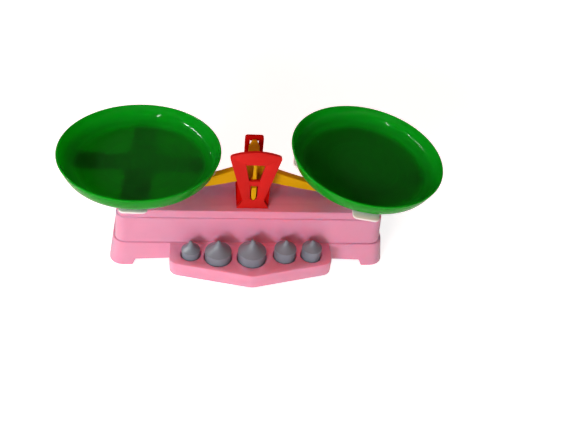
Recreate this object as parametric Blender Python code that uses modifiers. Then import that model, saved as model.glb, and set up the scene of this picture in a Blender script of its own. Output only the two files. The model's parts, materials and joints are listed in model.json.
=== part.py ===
"""Toy balance scale: two lift-off pans on carriers, a knife-edge beam with a hidden lower stay
that keeps the carriers upright, a stepped hollow base, and a front tray with five weights.

Units are metres and +Z is up. The front of the toy faces -Y, and the origin is on the ground
under the middle of the base.
"""
import math

import bmesh
import bpy
from mathutils import Matrix, Vector

MM = 0.001

# Fits between pieces
GAP = 0.3 * MM
WELD = 0.001 * MM
FLAT = math.radians(0.1)
ARC_STEPS = 5

# Pans
PAN_RADIUS = 68.7 * MM
PAN_HEIGHT = 17.0 * MM
PAN_WALL = 1.7 * MM
PAN_COVE_INSIDE = 14.0 * MM
PAN_COVE_OUTSIDE = 10.7 * MM
PAN_FLARE = math.radians(18)
PAN_STEPS = 56
PAN_SHIFT_LEFT = (0.0, -1.8 * MM)
PAN_SHIFT_RIGHT = (-0.45 * MM, 2.95 * MM)

# Fulcrum stand, measured up from the base's top and outwards from the knife edge
FAN_HALF_WIDTH = 22.4 * MM
FOOT_HALF_WIDTH = 14.3 * MM
WAIST_HALF_WIDTH = 9.4 * MM
WAIST_RISE = 8.7 * MM
KNIFE_RISE = 9.9 * MM
SLOT_HALF_WIDTH = 3.2 * MM
SLOT_HEIGHT = 15.9 * MM
CROSSBAR = 5.3 * MM
WINDOW_HEIGHT = 17.3 * MM
WINDOW_HALF_LOW = 4.6 * MM
WINDOW_HALF_HIGH = 8.4 * MM
LINTEL = 8.4 * MM
FAN_ARCH = 4.8 * MM
FAN_CORNER = 2.6 * MM
STAND_FRONT = 20.0 * MM
STAND_REAR = 12.5 * MM
STAND_PLATE = 3.0 * MM
STAND_WALL = 2.0 * MM
STAND_FLOOR = 2.5 * MM
STAND_EDGE = 0.4 * MM
SIDE_WALL_RISE = 25.0 * MM
POST_HALF_WIDTH = 8.2 * MM
POST_OVER_FAN = 1.0 * MM
POST_BROW = 4.7 * MM
POST_CORNER = 2.2 * MM
POST_FOOT_RISE = 12.0 * MM
POST_TAPER = 8.0 * MM
REAR_WINDOW_HALF = 4.0 * MM
REAR_WINDOW_HEIGHT = 17.0 * MM

# Beam and pointers, measured from the knife edge
PAN_TO_STAND = 6.3 * MM
BEAM_THICKNESS = 7.5 * MM
BEAM_END_RISE = -1.8 * MM
BEAM_END_HEIGHT = 6.0 * MM
BEAM_LEVEL = 15.0 * MM
BEAM_TOP_RISE = 26.1 * MM
BEAM_BOTTOM_RISE = 16.3 * MM
BEAM_CURVE = 1.5
BEAM_EYE_WALL = 2.9 * MM
BEAM_EDGE = 0.6 * MM
BEAM_STEPS = 9
BEAM_SWING = math.radians(3)
KNIFE_HALF_WIDTH = 2.1 * MM
KNIFE_POINT = 5.0 * MM
KNIFE_HEADROOM = 2.0 * MM
NEEDLE_HALF_LOW = 2.0 * MM
NEEDLE_HALF_HIGH = 1.1 * MM
NEEDLE_THICKNESS = 3.0 * MM
NEEDLE_CLEARANCE = 0.5 * MM
TONGUE_HALF_LOW = 4.8 * MM
TONGUE_HALF_HIGH = 1.9 * MM
TONGUE_TAPER = 6.5 * MM
TONGUE_THICKNESS = 2.7 * MM
TONGUE_CLEARANCE = 0.8 * MM
TONGUE_OVER_WINDOW = 2.2 * MM

# Pins
PIN_RADIUS = 2.0 * MM
PIN_HEAD_LIP = 1.2 * MM
PIN_HEAD_THICKNESS = 1.2 * MM
PIN_STEPS = 16

# Pan carriers, measured from their pivots on the beam
CARRIER_RISE = 24.4 * MM
CARRIER_PLATE = 2.0 * MM
CARRIER_INSET = 4.7 * MM
CARRIER_ARM_HALF = 11.6 * MM
CARRIER_ARM_CORNER = 4.5 * MM
CARRIER_CROTCH = 10.0 * MM
CARRIER_EDGE = 0.5 * MM
CARRIER_RIB = 2.4 * MM
CARRIER_RIB_DEPTH = 4.0 * MM
CARRIER_RIB_TIP = 1.0 * MM
CHEEK_WIDTH = 12.0 * MM
CHEEK_THICKNESS = 2.0 * MM
CHEEK_CLEARANCE = 1.45 * MM
CHEEK_WEB = 4.0 * MM
CHEEK_WEB_MARGIN = 12.0 * MM

# How the two loose carriers stand: turned about Z, dipped to the front and rocked to the right
CARRIER_YAW_LEFT = math.radians(-2.5)
CARRIER_YAW_RIGHT = math.radians(-7)
CARRIER_DIP_RIGHT = math.radians(3.3)
CARRIER_ROCK_RIGHT = math.radians(4.8)

# Lower stay
LINK_DROP = 47.0 * MM
STAY_THICKNESS = 3.0 * MM
STAY_HEIGHT = 9.0 * MM
STAY_PLAY = 0.6 * MM
STAY_SLOT_WALL = 2.5 * MM
HANGER_WIDTH = 12.0 * MM
HANGER_THICKNESS = 2.0 * MM

# Base
BASE_END_MARGIN = 27.6 * MM
BASE_DEPTH = 60.0 * MM
SKIRT_HEIGHT = 27.0 * MM
MIDDLE_HEIGHT = 27.2 * MM
TOP_HEIGHT = 7.3 * MM
SKIRT_LEDGE = 1.8 * MM
TOP_LEDGE = 1.4 * MM
TOP_ROUND = 0.8 * MM
BASE_DRAFT = math.radians(2)
SKIRT_END_FLARE = math.radians(8)
UPPER_END_FLARE = math.radians(3)
BASE_CORNER = 13.0 * MM
BASE_WALL = 2.2 * MM
FOOT_LENGTH = 21.7 * MM
FOOT_HEIGHT = 6.9 * MM
FOOT_SLANT = 3.0 * MM
SKIRT_ARCH = math.radians(2.7)
STEM_CLEARANCE = 1.5 * MM
RIB_THICKNESS = 2.0 * MM

# Stand screws
SCREW_RADIUS = 1.5 * MM
SCREW_HEAD_RADIUS = 3.0 * MM
SCREW_HEAD_CROWN = 2.4 * MM
SCREW_HEAD_THICKNESS = 1.8 * MM
SCREW_BOSS_WALL = 1.6 * MM
SCREW_BOSS_ROOM = 2.1 * MM
SCREW_MARGIN_FRONT = 3.9 * MM
SCREW_MARGIN_REAR = 0.9 * MM

# Weight tray
TRAY_END_MARGIN = 18.8 * MM
TRAY_SIDE = 25.0 * MM
TRAY_REACH = 42.0 * MM
TRAY_HEIGHT = 14.5 * MM
TRAY_WALL = 1.8 * MM
TRAY_CORNER = 9.0 * MM
TRAY_NOSE = 14.0 * MM
TRAY_EDGE = 0.8 * MM
SOCKET_PITCH_INNER = 29.9 * MM
SOCKET_PITCH_OUTER = 24.2 * MM
SOCKET_SETBACK = 5.5 * MM
SOCKET_DEPTH = 9.0 * MM
SOCKET_CLEARANCE = 0.9 * MM
SOCKET_STEPS = 24

# Weights, left to right: radius, shoulder and tip above the tray's top
WEIGHT_1_RADIUS = 8.2 * MM
WEIGHT_1_SHOULDER = 6.4 * MM
WEIGHT_1_TIP = 15.6 * MM
WEIGHT_2_RADIUS = 11.7 * MM
WEIGHT_2_SHOULDER = 7.8 * MM
WEIGHT_2_TIP = 19.6 * MM
WEIGHT_3_RADIUS = 12.5 * MM
WEIGHT_3_SHOULDER = 9.0 * MM
WEIGHT_3_TIP = 21.6 * MM
WEIGHT_4_RADIUS = 9.8 * MM
WEIGHT_4_SHOULDER = 9.8 * MM
WEIGHT_4_TIP = 18.9 * MM
WEIGHT_5_RADIUS = 8.95 * MM
WEIGHT_5_SHOULDER = 10.2 * MM
WEIGHT_5_TIP = 18.2 * MM
WEIGHT_TIP_RADIUS = 2.2 * MM
WEIGHT_ROUND = 0.9 * MM
WEIGHT_STEPS = 24
WEIGHT_CONE_POINTS = 8
WEIGHT_CONE_HOLLOW = 1.8

# Sizes that follow from the ones above
ARM_LENGTH = PAN_RADIUS + PAN_TO_STAND + FAN_HALF_WIDTH
BASE_WIDTH = 2 * (ARM_LENGTH + BASE_END_MARGIN)
BASE_HEIGHT = SKIRT_HEIGHT + MIDDLE_HEIGHT + TOP_HEIGHT
KNIFE_Z = BASE_HEIGHT + KNIFE_RISE
END_PIVOT_Z = KNIFE_Z + BEAM_END_RISE
STAY_Z = KNIFE_Z - LINK_DROP
PIN_HOLE = PIN_RADIUS + GAP
STEM_YAW = max(abs(CARRIER_YAW_LEFT), abs(CARRIER_YAW_RIGHT))
STEM_SHIFT = (LINK_DROP + CHEEK_WIDTH / 2) * math.sin(CARRIER_DIP_RIGHT)
STAY_ROOM = STAY_THICKNESS / 2 + STAY_PLAY + STEM_SHIFT + CHEEK_WIDTH / 2 * math.sin(STEM_YAW)
CHEEK_INNER = max(BEAM_THICKNESS / 2 + CHEEK_CLEARANCE, STAY_ROOM)
CHEEK_OUTER = CHEEK_INNER + CHEEK_THICKNESS
STEM_LEAN = math.hypot(math.sin(STEM_YAW), math.sin(CARRIER_DIP_RIGHT))
CARRIER_HOLE = PIN_HOLE + CHEEK_OUTER * STEM_LEAN
BEAM_PIN_PLAY = GAP + (CARRIER_HOLE + PIN_HEAD_LIP) * STEM_LEAN
CARRIER_REACH = PAN_RADIUS - CARRIER_INSET
STAY_SLACK = LINK_DROP * math.sin(CARRIER_ROCK_RIGHT)
HANGER_INNER = STAY_THICKNESS / 2 + STAY_PLAY
HANGER_OUTER = HANGER_INNER + HANGER_THICKNESS
SLOT_LOW = KNIFE_Z - GAP
SLOT_HIGH = SLOT_LOW + SLOT_HEIGHT
WINDOW_LOW = SLOT_HIGH + CROSSBAR
WINDOW_HIGH = WINDOW_LOW + WINDOW_HEIGHT
FAN_CORNER_Z = WINDOW_HIGH + LINTEL
POST_TOP = FAN_CORNER_Z + POST_OVER_FAN
REAR_WINDOW_HIGH = POST_TOP - POST_BROW
STAND_SEAT = BASE_HEIGHT + GAP
SKIRT_FRONT = BASE_DEPTH / 2 - SKIRT_HEIGHT * math.tan(BASE_DRAFT)
FOOT_END = BASE_WIDTH / 2 + SKIRT_HEIGHT * math.tan(SKIRT_END_FLARE)
TRAY_HALF_WIDTH = SOCKET_PITCH_INNER + SOCKET_PITCH_OUTER + TRAY_END_MARGIN

WEIGHTS = (
    (WEIGHT_1_RADIUS, WEIGHT_1_SHOULDER, WEIGHT_1_TIP, -SOCKET_PITCH_INNER - SOCKET_PITCH_OUTER),
    (WEIGHT_2_RADIUS, WEIGHT_2_SHOULDER, WEIGHT_2_TIP, -SOCKET_PITCH_INNER),
    (WEIGHT_3_RADIUS, WEIGHT_3_SHOULDER, WEIGHT_3_TIP, 0.0),
    (WEIGHT_4_RADIUS, WEIGHT_4_SHOULDER, WEIGHT_4_TIP, SOCKET_PITCH_INNER),
    (WEIGHT_5_RADIUS, WEIGHT_5_SHOULDER, WEIGHT_5_TIP, SOCKET_PITCH_INNER + SOCKET_PITCH_OUTER),
)

# Turns that stand a flat outline up: drawn in X and Z, or in Y and Z
UPRIGHT_XZ = Matrix.Rotation(math.pi / 2, 4, 'X')
UPRIGHT_YZ = Matrix(((0, 0, 1, 0), (1, 0, 0, 0), (0, 1, 0, 0), (0, 0, 0, 1)))


def clear_scene():
    for old in list(bpy.data.objects):
        bpy.data.objects.remove(old)


def new_collection(name):
    collection = bpy.data.collections.new(name)
    bpy.context.scene.collection.children.link(collection)
    return collection


def plastic(name, color, roughness, metallic=0.0):
    material = bpy.data.materials.new(name)
    material.use_nodes = True
    shader = material.node_tree.nodes['Principled BSDF']
    shader.inputs['Base Color'].default_value = (*color, 1.0)
    shader.inputs['Roughness'].default_value = roughness
    shader.inputs['Metallic'].default_value = metallic
    return material


clear_scene()
PARTS = new_collection('toy_balance_scale')
CUTTERS = new_collection('toy_balance_scale_cutters')
PINK = plastic('pink_plastic', (0.87, 0.38, 0.49), 0.4)
RED = plastic('red_plastic', (0.66, 0.02, 0.015), 0.35)
YELLOW = plastic('yellow_plastic', (0.68, 0.33, 0.01), 0.35)
WHITE = plastic('white_plastic', (0.85, 0.85, 0.83), 0.4)
GREEN = plastic('green_plastic', (0.01, 0.27, 0.03), 0.2)
GREY = plastic('grey_plastic', (0.2, 0.21, 0.22), 0.4)
STEEL = plastic('screw_steel', (0.6, 0.6, 0.6), 0.3, 1.0)


def pivot(name, location, turn=(0, 0, 0), parent=None):
    empty = bpy.data.objects.new(name, None)
    empty.location = location
    empty.rotation_euler = turn
    empty.parent = parent
    PARTS.objects.link(empty)
    return empty


def add_part(name, mesh, material, location=(0, 0, 0), parent=None):
    mesh.materials.append(material)
    part = bpy.data.objects.new(name, mesh)
    part.location = location
    part.parent = parent
    PARTS.objects.link(part)
    return part


def add_cutter(target, mesh, operation):
    """Cut a shape out of a part, or join it on, in the part's own coordinates."""
    shape = bpy.data.objects.new(target.name + '_' + operation.lower(), mesh)
    shape.parent = target
    shape.hide_render = True
    shape.display_type = 'WIRE'
    CUTTERS.objects.link(shape)
    boolean = target.modifiers.new(operation.title(), 'BOOLEAN')
    boolean.operation = operation
    boolean.solver = 'EXACT'
    boolean.object = shape


def cut(target, mesh):
    add_cutter(target, mesh, 'DIFFERENCE')


def join(target, mesh):
    add_cutter(target, mesh, 'UNION')


def round_edges(part, width, segments=1):
    bevel = part.modifiers.new('Rounded edges', 'BEVEL')
    bevel.width = width
    bevel.segments = segments
    bevel.limit_method = 'ANGLE'
    bevel.angle_limit = math.radians(50)
    bevel.use_clamp_overlap = True


def arc(center, radius, start, end, steps):
    """Points on an arc from one angle to another, both ends included."""
    angles = [start + (end - start) * step / steps for step in range(steps + 1)]
    return [(center[0] + radius * math.cos(a), center[1] + radius * math.sin(a)) for a in angles]


def circle(center, radius, steps=PIN_STEPS):
    return arc(center, radius, 0, 2 * math.pi, steps)[:-1]


def slot_loop(center, half_length, radius):
    """A level slot with round ends; the half length runs to the centres of its ends."""
    x, z = center
    right = arc((x + half_length, z), radius, -math.pi / 2, math.pi / 2, ARC_STEPS + 2)
    left = arc((x - half_length, z), radius, math.pi / 2, 3 * math.pi / 2, ARC_STEPS + 2)
    return right + left


def filleted(corners):
    """An outline from corners (x, y, radius), with an arc in place of each rounded corner."""
    outline = []
    count = len(corners)
    for index, (x, y, radius) in enumerate(corners):
        here = Vector((x, y))
        before = (Vector(corners[index - 1][:2]) - here).normalized()
        after = (Vector(corners[(index + 1) % count][:2]) - here).normalized()
        half = before.angle(after) / 2
        if radius == 0:
            outline.append((x, y))
            continue
        center = here + (before + after).normalized() * radius / math.sin(half)
        start = here + before * radius / math.tan(half) - center
        sweep = start.angle_signed(here + after * radius / math.tan(half) - center)
        for step in range(ARC_STEPS + 1):
            spoke = start.copy()
            spoke.rotate(Matrix.Rotation(-sweep * step / ARC_STEPS, 2))
            outline.append(tuple(center + spoke))
    return outline


def prism(loops, thickness, turn=Matrix(), offset=(0, 0, 0)):
    """A closed plate from a flat outline and the holes in it, centred on its thickness."""
    curve = bpy.data.curves.new('outline', 'CURVE')
    curve.dimensions = '2D'
    curve.fill_mode = 'BOTH'
    curve.extrude = thickness / 2
    for loop in loops:
        spline = curve.splines.new('POLY')
        spline.points.add(len(loop) - 1)
        for point, (x, y) in zip(spline.points, loop):
            point.co = (x, y, 0, 1)
        spline.use_cyclic_u = True
    drawn = bpy.data.objects.new('outline', curve)
    bpy.context.scene.collection.objects.link(drawn)
    depsgraph = bpy.context.evaluated_depsgraph_get()
    mesh = bpy.data.meshes.new_from_object(drawn.evaluated_get(depsgraph))
    bpy.data.objects.remove(drawn)
    body = bmesh.new()
    body.from_mesh(mesh)
    bmesh.ops.remove_doubles(body, verts=body.verts, dist=WELD)
    bmesh.ops.dissolve_limit(body, angle_limit=FLAT, verts=body.verts, edges=body.edges)
    bmesh.ops.recalc_face_normals(body, faces=body.faces)
    body.transform(Matrix.Translation(offset) @ turn)
    body.to_mesh(mesh)
    body.free()
    return mesh


def box(low, high):
    mesh = bpy.data.meshes.new('box')
    body = bmesh.new()
    bmesh.ops.create_cube(body, size=1)
    size = Vector(high) - Vector(low)
    bmesh.ops.scale(body, vec=size, verts=body.verts)
    bmesh.ops.translate(body, vec=(Vector(low) + Vector(high)) / 2, verts=body.verts)
    body.to_mesh(mesh)
    body.free()
    return mesh


def cylinder(radius, low, high, center=(0, 0), steps=SOCKET_STEPS):
    """An upright cylinder between two heights."""
    mesh = bpy.data.meshes.new('cylinder')
    body = bmesh.new()
    bmesh.ops.create_cone(body, cap_ends=True, segments=steps, radius1=radius, radius2=radius,
                          depth=high - low)
    bmesh.ops.translate(body, vec=(*center, (low + high) / 2), verts=body.verts)
    body.to_mesh(mesh)
    body.free()
    return mesh


def turned(name, profile, material, steps, location=(0, 0, 0), turn=(0, 0, 0), parent=None):
    """A solid of revolution from a profile of (radius, height) that ends down its outer side."""
    mesh = bpy.data.meshes.new(name)
    points = [(radius, 0, height) for radius, height in profile]
    edges = [(index, index + 1) for index in range(len(points) - 1)]
    mesh.from_pydata(points, edges, [])
    part = add_part(name, mesh, material, location, parent)
    part.rotation_euler = turn
    screw = part.modifiers.new('Turned', 'SCREW')
    screw.angle = 2 * math.pi
    screw.steps = steps
    screw.render_steps = steps
    screw.use_merge_vertices = True
    screw.merge_threshold = WELD
    screw.use_smooth_shade = True
    return part


def end_flare(height):
    """How far the base's ends lean out at a height, beyond the draft that all its sides share."""
    flare = SKIRT_END_FLARE if height < SKIRT_HEIGHT else UPPER_END_FLARE
    return (SKIRT_HEIGHT - height) * math.tan(flare)


def stepped_form(grow=0.0, below=0.0):
    """The base's three drafted tiers as a closed solid, grown on all sides and started lower."""
    slope = math.tan(BASE_DRAFT)
    spread = 2 * (grow + below * slope)
    body = bmesh.new()
    bmesh.ops.create_grid(body, x_segments=1, y_segments=1, size=0.5)
    bmesh.ops.scale(body, vec=(BASE_WIDTH + spread, BASE_DEPTH + spread, 1), verts=body.verts)
    bmesh.ops.translate(body, vec=(0, 0, -below), verts=body.verts)
    bmesh.ops.bevel(body, geom=body.verts[:], offset=max(BASE_CORNER + grow, GAP),
                    offset_type='OFFSET', segments=ARC_STEPS, profile=0.5, affect='VERTICES')
    roof = body.faces[:]
    top_wall = TOP_HEIGHT - TOP_ROUND
    for inward, upward in (
        ((SKIRT_HEIGHT + below) * slope, SKIRT_HEIGHT + below + grow),
        (SKIRT_LEDGE, 0),
        (MIDDLE_HEIGHT * slope, MIDDLE_HEIGHT),
        (TOP_LEDGE, 0),
        (top_wall * slope, top_wall),
        (TOP_ROUND, TOP_ROUND),
    ):
        bmesh.ops.inset_region(body, faces=roof, thickness=inward, depth=upward,
                               use_even_offset=True, use_boundary=True)
    for vertex in body.verts:
        vertex.co.x += math.copysign(1, vertex.co.x) * end_flare(vertex.co.z)
    rim = [edge for edge in body.edges if edge.is_boundary]
    bmesh.ops.contextual_create(body, geom=rim)
    bmesh.ops.recalc_face_normals(body, faces=body.faces)
    mesh = bpy.data.meshes.new('stepped_form')
    body.to_mesh(mesh)
    body.free()
    return mesh


def foot_arch(half_span):
    """Outline of the low gable between two feet, seen from the side."""
    top = half_span - FOOT_SLANT
    return [
        (-half_span, -FOOT_HEIGHT),
        (-half_span, 0),
        (-top, FOOT_HEIGHT),
        (0, FOOT_HEIGHT + top * math.tan(SKIRT_ARCH)),
        (top, FOOT_HEIGHT),
        (half_span, 0),
        (half_span, -FOOT_HEIGHT),
    ]


def stem_slot_half_sizes():
    """Room for a carrier's leaning stem where it passes through the base's top."""
    depth = END_PIVOT_Z - BASE_HEIGHT + BASE_WALL
    yaw = math.sin(STEM_YAW)
    half_x = CHEEK_WIDTH / 2 + CHEEK_OUTER * yaw + depth * math.sin(CARRIER_ROCK_RIGHT)
    half_y = CHEEK_OUTER + CHEEK_WIDTH / 2 * yaw + depth * math.sin(CARRIER_DIP_RIGHT)
    return half_x + STEM_CLEARANCE, half_y + STEM_CLEARANCE


def screw_places():
    front = HANGER_OUTER + SCREW_HEAD_RADIUS + SCREW_MARGIN_FRONT
    rear = HANGER_OUTER + SCREW_HEAD_RADIUS + SCREW_MARGIN_REAR
    return {'front': (0, -front), 'rear': (0, rear)}


def base_housing():
    housing = add_part('base_housing', stepped_form(), PINK)
    cut(housing, stepped_form(-BASE_WALL, BASE_WALL))
    add_stay_hangers(housing)
    add_roof_ribs(housing)
    half_width = FOOT_END - FOOT_LENGTH
    half_depth = BASE_DEPTH / 2 - FOOT_LENGTH
    cut(housing, prism([foot_arch(half_width)], 2 * BASE_DEPTH, UPRIGHT_XZ))
    cut(housing, prism([foot_arch(half_depth)], 2 * BASE_WIDTH, UPRIGHT_YZ))
    slot_x, slot_y = stem_slot_half_sizes()
    for side in (-1, 1):
        low = (side * ARM_LENGTH - slot_x, -slot_y, BASE_HEIGHT - 2 * BASE_WALL)
        high = (side * ARM_LENGTH + slot_x, slot_y, BASE_HEIGHT + BASE_WALL)
        cut(housing, box(low, high))
    for place in screw_places().values():
        hole = cylinder(SCREW_RADIUS + GAP, BASE_HEIGHT - 2 * BASE_WALL, BASE_HEIGHT + BASE_WALL,
                        place, PIN_STEPS)
        cut(housing, hole)


def add_stay_hangers(housing):
    """Two ears under the roof that hold the stay's middle pin."""
    half = HANGER_WIDTH / 2
    root = BASE_HEIGHT - BASE_WALL / 2
    ear = [(half, root), (-half, root)]
    ear += arc((0, STAY_Z), half, math.pi, 2 * math.pi, 2 * ARC_STEPS)
    for side in (-1, 1):
        middle = side * (HANGER_INNER + HANGER_OUTER) / 2
        hole = circle((0, STAY_Z), PIN_HOLE)
        join(housing, prism([ear, hole], HANGER_THICKNESS, UPRIGHT_XZ, (0, middle, 0)))


def add_roof_ribs(housing):
    """A stiffening rib across the roof, half way along each side."""
    inward = (BASE_HEIGHT - TOP_ROUND) * math.tan(BASE_DRAFT) + SKIRT_LEDGE + TOP_LEDGE
    half_depth = BASE_DEPTH / 2 - inward - BASE_WALL / 2
    for side in (-1, 1):
        middle = side * ARM_LENGTH / 2
        low = (middle - RIB_THICKNESS / 2, -half_depth, BASE_HEIGHT - TOP_HEIGHT)
        high = (middle + RIB_THICKNESS / 2, half_depth, BASE_HEIGHT - BASE_WALL / 2)
        join(housing, box(low, high))


def tray_outline(inset, back):
    """The tray seen from above, drawn in by an inset, with its back edge at the given Y."""
    side = TRAY_HALF_WIDTH - inset
    slope = math.atan2(TRAY_REACH - TRAY_SIDE, TRAY_HALF_WIDTH)
    nose = -SKIRT_FRONT - TRAY_REACH + inset / math.cos(slope)
    shoulder = nose + side * math.tan(slope)
    return filleted((
        (side, back, 0),
        (-side, back, 0),
        (-side, shoulder, TRAY_CORNER - inset),
        (0, nose, TRAY_NOSE),
        (side, shoulder, TRAY_CORNER - inset),
    ))


def weight_center(radius, x):
    """Sockets line up along their back edges, in front of the skirt."""
    return x, -SKIRT_FRONT - SOCKET_SETBACK - radius


def weight_tray():
    top = SKIRT_HEIGHT
    bottom = top - TRAY_HEIGHT
    back = -SKIRT_FRONT + BASE_WALL
    block = prism([tray_outline(0, back)], TRAY_HEIGHT, offset=(0, 0, (top + bottom) / 2))
    tray = add_part('weight_tray', block, PINK)
    round_edges(tray, TRAY_EDGE, 2)
    inner_back = -BASE_DEPTH / 2 - GAP - TRAY_WALL
    hollow_height = TRAY_HEIGHT - TRAY_WALL
    hollow = prism([tray_outline(TRAY_WALL, inner_back)], 2 * hollow_height, offset=(0, 0, bottom))
    cut(tray, hollow)
    for radius, _, _, x in WEIGHTS:
        socket = radius + SOCKET_CLEARANCE
        center = weight_center(radius, x)
        floor = top - SOCKET_DEPTH
        join(tray, cylinder(socket + TRAY_WALL, floor - TRAY_WALL, top - TRAY_WALL / 2, center))
        cut(tray, cylinder(socket, floor, top + TRAY_WALL, center))
    cut(tray, stepped_form(GAP))


def front_plate_outline():
    """Foot, waist and fan of the front plate, with its arched top."""
    radius = (FAN_HALF_WIDTH ** 2 + FAN_ARCH ** 2) / (2 * FAN_ARCH)
    spread = math.asin(FAN_HALF_WIDTH / radius)
    center = FAN_CORNER_Z + FAN_ARCH - radius
    crown = arc((0, center), radius, math.pi / 2 - spread, math.pi / 2 + spread, 2 * ARC_STEPS)
    corners = [(x, z, 0) for x, z in crown]
    corners[0] = (*crown[0], FAN_CORNER)
    corners[-1] = (*crown[-1], FAN_CORNER)
    waist = BASE_HEIGHT + WAIST_RISE
    lower = [
        (-WAIST_HALF_WIDTH, waist, 0),
        (-FOOT_HALF_WIDTH, STAND_SEAT, 0),
        (FOOT_HALF_WIDTH, STAND_SEAT, 0),
        (WAIST_HALF_WIDTH, waist, 0),
    ]
    return filleted(corners + lower)


def knife_slot_loop():
    """The slot that the knife edge stands in, round below and closed on top, in both plates."""
    center = (0, SLOT_LOW + SLOT_HALF_WIDTH)
    bottom = arc(center, SLOT_HALF_WIDTH, math.pi, 2 * math.pi, 2 * ARC_STEPS)
    return bottom + [(SLOT_HALF_WIDTH, SLOT_HIGH), (-SLOT_HALF_WIDTH, SLOT_HIGH)]


def stand_front_plate():
    window = filleted((
        (-WINDOW_HALF_LOW, WINDOW_LOW, STAND_EDGE),
        (WINDOW_HALF_LOW, WINDOW_LOW, STAND_EDGE),
        (WINDOW_HALF_HIGH, WINDOW_HIGH, STAND_EDGE),
        (-WINDOW_HALF_HIGH, WINDOW_HIGH, STAND_EDGE),
    ))
    loops = [front_plate_outline(), window, knife_slot_loop()]
    middle = -STAND_FRONT + STAND_PLATE / 2
    mesh = prism(loops, STAND_PLATE, UPRIGHT_XZ, (0, middle, 0))
    plate = add_part('stand_front_plate', mesh, RED)
    round_edges(plate, STAND_EDGE)


def rear_post_mesh():
    """The rear post, wide at its foot, with the knife slot and the tongue's window."""
    foot = BASE_HEIGHT + POST_FOOT_RISE
    neck = foot + POST_TAPER
    outline = filleted((
        (-FOOT_HALF_WIDTH, STAND_SEAT, 0),
        (FOOT_HALF_WIDTH, STAND_SEAT, 0),
        (FOOT_HALF_WIDTH, foot, 0),
        (POST_HALF_WIDTH, neck, 0),
        (POST_HALF_WIDTH, POST_TOP, POST_CORNER),
        (-POST_HALF_WIDTH, POST_TOP, POST_CORNER),
        (-POST_HALF_WIDTH, neck, 0),
        (-FOOT_HALF_WIDTH, foot, 0),
    ))
    low = REAR_WINDOW_HIGH - REAR_WINDOW_HEIGHT
    window = [
        (-REAR_WINDOW_HALF, low),
        (REAR_WINDOW_HALF, low),
        (REAR_WINDOW_HALF, REAR_WINDOW_HIGH),
        (-REAR_WINDOW_HALF, REAR_WINDOW_HIGH),
    ]
    middle = STAND_REAR - STAND_PLATE / 2
    loops = [outline, window, knife_slot_loop()]
    return prism(loops, STAND_PLATE, UPRIGHT_XZ, (0, middle, 0))


def side_wall_outline():
    """A side wall seen from the side, notched for the beam to swing in."""
    front = -STAND_FRONT + STAND_PLATE + GAP
    rear = STAND_REAR - STAND_PLATE / 2
    top = BASE_HEIGHT + SIDE_WALL_RISE
    half_notch = BEAM_THICKNESS / 2 + STAND_WALL
    drop = FOOT_HALF_WIDTH * math.sin(BEAM_SWING)
    notch = KNIFE_Z + beam_bottom(FOOT_HALF_WIDTH) - drop - STAND_WALL
    return filleted((
        (front, STAND_SEAT, 0),
        (rear, STAND_SEAT, 0),
        (rear, SLOT_LOW, 0),
        (half_notch, notch, STAND_WALL),
        (-half_notch, notch, STAND_WALL),
        (-half_notch, top, 0),
        (front, top, 0),
    ))


def stand_rear_frame():
    frame = add_part('stand_rear_frame', rear_post_mesh(), RED)
    front = -STAND_FRONT + STAND_PLATE + GAP
    rear = STAND_REAR - STAND_PLATE / 2
    for side in (-1, 1):
        middle = side * (FOOT_HALF_WIDTH - STAND_WALL / 2)
        join(frame, prism([side_wall_outline()], STAND_WALL, UPRIGHT_YZ, (middle, 0, 0)))
        edge = side * (SLOT_HALF_WIDTH + GAP)
        low = (min(middle, edge), front, STAND_SEAT)
        high = (max(middle, edge), front + STAND_WALL, BASE_HEIGHT + SIDE_WALL_RISE)
        join(frame, box(low, high))
    inner = FOOT_HALF_WIDTH - STAND_WALL / 2
    floor_top = STAND_SEAT + STAND_FLOOR
    join(frame, box((-inner, front, STAND_SEAT), (inner, rear, floor_top)))
    boss = SCREW_RADIUS + GAP + SCREW_BOSS_WALL
    boss_top = KNIFE_Z - SCREW_BOSS_ROOM
    for place in screw_places().values():
        join(frame, cylinder(boss, STAND_SEAT + STAND_FLOOR / 2, boss_top, place, PIN_STEPS))
        cut(frame, cylinder(SCREW_RADIUS + GAP, BASE_HEIGHT, KNIFE_Z, place, PIN_STEPS))


def beam_bend(x):
    """How far the arm has still to fall at x: one at the middle, none on the level ends."""
    bend = ARM_LENGTH - BEAM_LEVEL
    return max(0.0, 1 - abs(x) / bend) ** BEAM_CURVE


def beam_top(x):
    return BEAM_END_RISE + BEAM_END_HEIGHT / 2 + BEAM_TOP_RISE * beam_bend(x)


def beam_bottom(x):
    return BEAM_END_RISE - BEAM_END_HEIGHT / 2 + BEAM_BOTTOM_RISE * beam_bend(x)


def beam_arms_mesh():
    """The gull-wing arms with an eye at each end."""
    bend = ARM_LENGTH - BEAM_LEVEL
    steps = range(-BEAM_STEPS, BEAM_STEPS + 1)
    along = [bend * step / BEAM_STEPS for step in steps]
    eye = PIN_HOLE + BEAM_EYE_WALL
    meet = math.asin(BEAM_END_HEIGHT / 2 / eye)
    right = arc((ARM_LENGTH, BEAM_END_RISE), eye, meet - math.pi, math.pi - meet, 2 * ARC_STEPS)
    left = arc((-ARM_LENGTH, BEAM_END_RISE), eye, meet, 2 * math.pi - meet, 2 * ARC_STEPS)
    outline = [(x, beam_bottom(x)) for x in along] + right
    outline += [(x, beam_top(x)) for x in reversed(along)] + left
    holes = [circle((side * ARM_LENGTH, BEAM_END_RISE), PIN_HOLE) for side in (-1, 1)]
    return prism([outline] + holes, BEAM_THICKNESS, UPRIGHT_XZ)


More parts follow.
